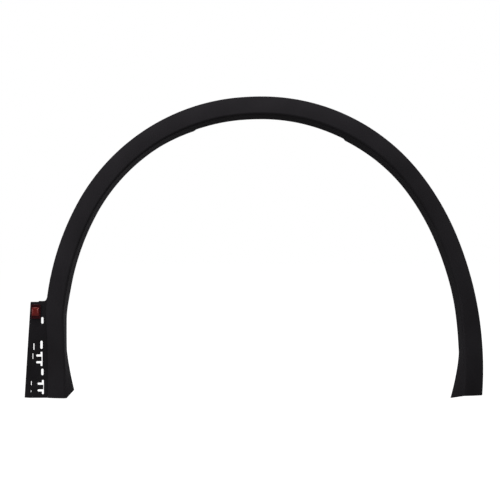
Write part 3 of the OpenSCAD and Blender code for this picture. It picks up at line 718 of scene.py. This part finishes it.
def joining_flange():
    """The flat flange beside the left foot with its slots, the gaps round its snap tongues and the clip's
    hole. Its fillet is a quarter of a circle against the arch's edge."""
    top, r, corner_r, step_r = JOINT_H + JOINT_STEP, JOINT_FILLET, 1.6, 0.8
    a = math.pi / 2 * shares(FILLET_STEPS)
    fillet = np.concatenate([edge_x(top) - r + r * np.sin(a), top + r - r * np.cos(a)], 1)
    side = [(edge_x(z) + WALL / 2, z) for z in np.linspace(top + r, 0, SIDE_STEPS + 1)]
    step = rounded_outline([(LIP_TOP_X, LIP_H, 0), (-JOINT_TOP, JOINT_H, corner_r),
                            (-JOINT_TOP / 2 - JOINT_STEP, JOINT_H, step_r), (-JOINT_TOP / 2, top, step_r),
                            (-r, top, 0)])
    foot = (-JOINT_BOTTOM + LIP_W - SIDE_SLITS[-1][2], 0)
    holes = [slot_outline(x, z, SLOT_W, length) for x, z, length in SLOTS]
    holes += [tongue_outline(*tongue) for tongue in TONGUES] + [slot_outline(*slit) for slit in SIDE_SLITS]
    a = np.linspace(0, 2 * math.pi, SHANK_SIDES, endpoint=False)
    shank_r = SHANK_D / 2 + 2 * CLIP_GAP
    holes.append(np.stack([shank_r * np.cos(a) - HOOK_IN, shank_r * np.sin(a) + HOOK_UP], 1))
    return plate([[foot, *step[:-1], *fillet, *side], *holes], JOINT_T, FLANGE_RIM,
                 ON_JOINT @ Matrix.Translation((0, 0, -JOINT_T / 2)))


def nib(x, z, reach):
    """The ramped nib at the free end of a snap tongue."""
    base_r, front_r, tip_r = 0.2, 0.5, 0.3
    outline = rounded_outline([(0, JOINT_T / 2, 0), (-NIB_L, JOINT_T / 2, 0), (-NIB_L, 0, base_r),
                               (-NIB_L / 5, -NIB_H, front_r), (0, -NIB_H, tip_r)])
    at = Matrix.Translation((JOINT_X - x - TONGUE_GAP / 2 + reach, JOINT_Y, JOINT_Z + z))
    return plate([outline], NIB_W, NIB_RIM, at)


def gusset(z):
    """A small gusset behind the flange, against the arch's outer wall."""
    outline = [(WALL / 2, -JOINT_T / 2), (-GUSSET, -JOINT_T / 2), (-GUSSET, 0), (0, GUSSET / 2),
               (WALL / 2, GUSSET / 2)]
    at = Matrix.Translation((JOINT_X + edge_x(z), JOINT_Y + JOINT_T, JOINT_Z + z + RIB / 2))
    return plate([outline], RIB, GUSSET_RIM, at)


def side_lip():
    """The lip that folds back along the lower left edge, widest at the foot. With a from 0 at the plate to 1
    at its free edge, and b from 0 at the foot to 1 where it ends, it lies back by its fold, a little short,
    times (1 - b) times (curl a^2 + (1 - curl) a)."""
    a, b = np.linspace(0, 1, LIP_ACROSS)[None, :, None], np.linspace(0, 1, LIP_UP)[:, None, None]
    start = mix(-JOINT_BOTTOM + LIP_W + JOINT_T / 2, LIP_TOP_X + JOINT_T / 2, b)
    end = mix(-JOINT_BOTTOM, LIP_TOP_X, b)
    fold = (LIP_FOLD - LIP_SHORT) * (1 - b) * (a ** 2 * LIP_CURL + a * (1 - LIP_CURL))
    x, z = JOINT_X + mix(start, end, a), JOINT_Z + LIP_H * b + 0 * a
    front = np.concatenate([x, JOINT_Y + LIP_IN + fold, z], -1)
    back = front + np.array([0, LIP_T, 0])
    rings = np.concatenate([back, front[:, ::-1]], 1)
    m, n = rings.shape[:2]
    return rings.reshape(-1, 3), np.concatenate([ring_faces(m, n), wall_caps(m, n)]).tolist()


# The flange, nibs, gussets and side lip take the darker copy of the black: painted shade
black(mesh_object("joining_flange", *joining_flange()), finish=FLANGE_SHADED_BLACK)
black(mesh_object("snap_nibs", *joined([nib(*tongue) for tongue in TONGUES])), finish=FLANGE_SHADED_BLACK)
black(mesh_object("flange_gussets", *joined([gusset(z) for z in GUSSET_HEIGHTS])), finish=FLANGE_SHADED_BLACK)
black(mesh_object("side_lip", *side_lip()), finish=FLANGE_SHADED_BLACK)


# The red clip and the push-in clips
def clip_base():
    """The clip's plate with its rim and two ribs in front of the flange, and the barbed shank through it."""
    at = ON_JOINT @ Matrix.Translation((-HOOK_IN, HOOK_UP, CLIP_GAP))
    w, h, deep, well_r, bar = HOOK_W / 2, HOOK_H / 2, HOOK_T + HOOK_RIM_H, HOOK_R / 2, HOOK_RIM_H / 2
    middle = at @ Matrix.Translation((0, 0, deep / 2))
    outside = rounded_outline([(-w, -h, HOOK_R), (w, -h, HOOK_R), (w, h, HOOK_R), (-w, h, HOOK_R)])
    x, y = w - HOOK_RIM, h - HOOK_RIM
    inside = rounded_outline([(-x, -y, well_r), (x, -y, well_r), (x, y, well_r), (-x, y, well_r)])
    parts = [plate([outside], HOOK_T, HOOK_SOFT, at @ Matrix.Translation((0, 0, HOOK_T / 2))),
             plate([outside, inside], deep, HOOK_RIM_SOFT, middle)]
    x = w - BAR_IN
    for side in (-1, 1):
        parts.append(plate([[(-x, -bar), (x, -bar), (x, bar), (-x, bar)]], deep, BAR_SOFT,
                           middle @ Matrix.Translation((0, side * BLOCK_H / 2, 0))))
    end, r = JOINT_T + 2 * CLIP_GAP, SHANK_D / 2
    barb = [(r, -HOOK_T / 2), (r, end), (r + BARB, end), (r + BARB, end + BARB_EDGE),
            (r - BARB, end + BARB_L), (POLE, end + BARB_L)]
    parts.append(lathe(barb, SHANK_SIDES, at @ Matrix.Rotation(math.pi, 4, "X")))
    return joined(parts)


def clip_block():
    """The raised block between the ribs. Its front stands out by its bulge times (1 - a^2) (1 - b^4), where a
    and b run from -1 to 1 across and up, over a wall that goes round its rim."""
    n = BLOCK_GRID
    a, b = np.meshgrid(np.linspace(-1, 1, n), np.linspace(-1, 1, n))
    out = HOOK_T + HOOK_RIM_H + DOME * (1 - a ** 2) * (1 - b ** 4)
    front = np.stack([a * BLOCK_W / 2, b * BLOCK_H / 2, out], -1).reshape(-1, 3)
    k = np.arange(n - 1)
    cell = k[:, None] * n + k
    faces = np.stack([cell, cell + 1, cell + n + 1, cell + n], -1).reshape(-1, 4)
    rim = np.concatenate([k, k * n + n - 1, n * n - 1 - k, (n - 1 - k) * n])
    back = front[rim] * [1, 1, 0] + [0, 0, HOOK_T / 2]
    k = np.arange(len(rim))
    sides = np.stack([rim, n * n + k, n * n + np.roll(k, -1), np.roll(rim, -1)], 1)
    at = ON_JOINT @ Matrix.Translation(((HOOK_RIM + BLOCK_W - HOOK_W) / 2 - HOOK_IN, HOOK_UP, CLIP_GAP))
    points = placed(np.concatenate([front, back]), at)
    return points, [*faces.tolist(), *sides.tolist(), (n * n + k[::-1]).tolist()]


# The plate, rim and ribs take the darker copy of the red, which paints their shade; the block takes the red
finished(mesh_object("clip_base", *clip_base()), SHADED_RED, "joint_clip")
finished(mesh_object("clip_block", *clip_block()), RED, "joint_clip", BLOCK_SOFT)
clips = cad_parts["panel_clips"]
clips.data.materials.clear()
clips.data.materials.append(NATURAL)


# Stage, light and camera. The floor lies just under the feet and runs on past the camera's view.
FLOOR_GAP, FLOOR_HALF, FLOOR_LEVEL, FLOOR_SHADE = 1.0, 30000, 0.995, 0.07
SKY, WHITE = (0.12, 0.12, 0.12), (1, 1, 1)
MIDDLE = Vector((0, 0, -0.29))


def white_floor():
    """A white floor. The camera, gloss and glass see it at a set level, darker where the object shades it."""
    f = Finish("floor")
    shade = (FLOOR_SHADE, FLOOR_SHADE, FLOOR_SHADE, 1)
    cloth = f.add("ShaderNodeBsdfDiffuse", inputs={"Color": shade})
    glow = f.add("ShaderNodeEmission", inputs={"Color": (*WHITE, 1), "Strength": f.seen() * FLOOR_LEVEL})
    both = f.add("ShaderNodeAddShader", inputs={0: cloth, 1: glow})
    f.add("ShaderNodeOutputMaterial", inputs={"Surface": both})
    z, far = cad_box[0][2] / MM - FLOOR_GAP, FLOOR_HALF
    corners = [(-far, -far, z), (far, -far, z), (far, far, z), (-far, far, z)]
    made = mesh_object("floor", corners, [[0, 1, 2, 3]])
    made.data.materials.append(f.owner)


def studio_world():
    """A grey sky that lights the object evenly, white where the camera, gloss and glass see it."""
    world = bpy.data.worlds.new("studio")
    sky = Nodes(world)
    background = sky.add("ShaderNodeBackground", inputs={"Color": sky.between(sky.seen(), SKY, WHITE)})
    sky.add("ShaderNodeOutputWorld", inputs={"Surface": background})
    bpy.context.scene.world = world


def lamp(name, where, size, power):
    """A square soft lamp that looks at the middle of the arch."""
    data = bpy.data.lights.new(name, "AREA")
    data.shape, data.size, data.energy = "SQUARE", size, power
    made = bpy.data.objects.new(name, data)
    made.location = where
    made.rotation_euler = (MIDDLE - Vector(where)).to_track_quat("-Z", "Y").to_euler()
    bpy.context.scene.collection.objects.link(made)


def photograph_camera():
    """Three metres off and 4.2 degrees to the left, where a pixel of the photograph is 2 mm."""
    yaw, away, target = math.radians(4.2), 3.0, Vector((-0.02685, 0, -0.28955))
    camera = bpy.data.cameras.new("camera")
    camera.sensor_width, camera.lens = 36, 108.08
    camera.clip_start, camera.clip_end = 0.05, 200
    viewer = bpy.data.objects.new("camera", camera)
    viewer.location = target + Vector((-math.sin(yaw), -math.cos(yaw), 0)) * away
    viewer.rotation_euler = (target - viewer.location).to_track_quat("-Z", "Y").to_euler()
    bpy.context.scene.collection.objects.link(viewer)
    bpy.context.scene.camera = viewer


white_floor()
studio_world()
lamp("key", (-1.5, -2.4, 2.6), 1.6, 53)
lamp("low_left", (-2.6, -1.4, -0.2), 1.6, 35)
lamp("edge", (2.8, 0.6, -0.2), 1.6, 46)
lamp("top", (-0.3, -0.6, 3.2), 1.6, 106)
lamp("front", (1.05, -2.95, -0.1), 0.5, 18)
lamp("back", (0.4, 2.6, 1.6), 1.6, 100)
photograph_camera()
bpy.context.scene.view_settings.view_transform = "Standard"
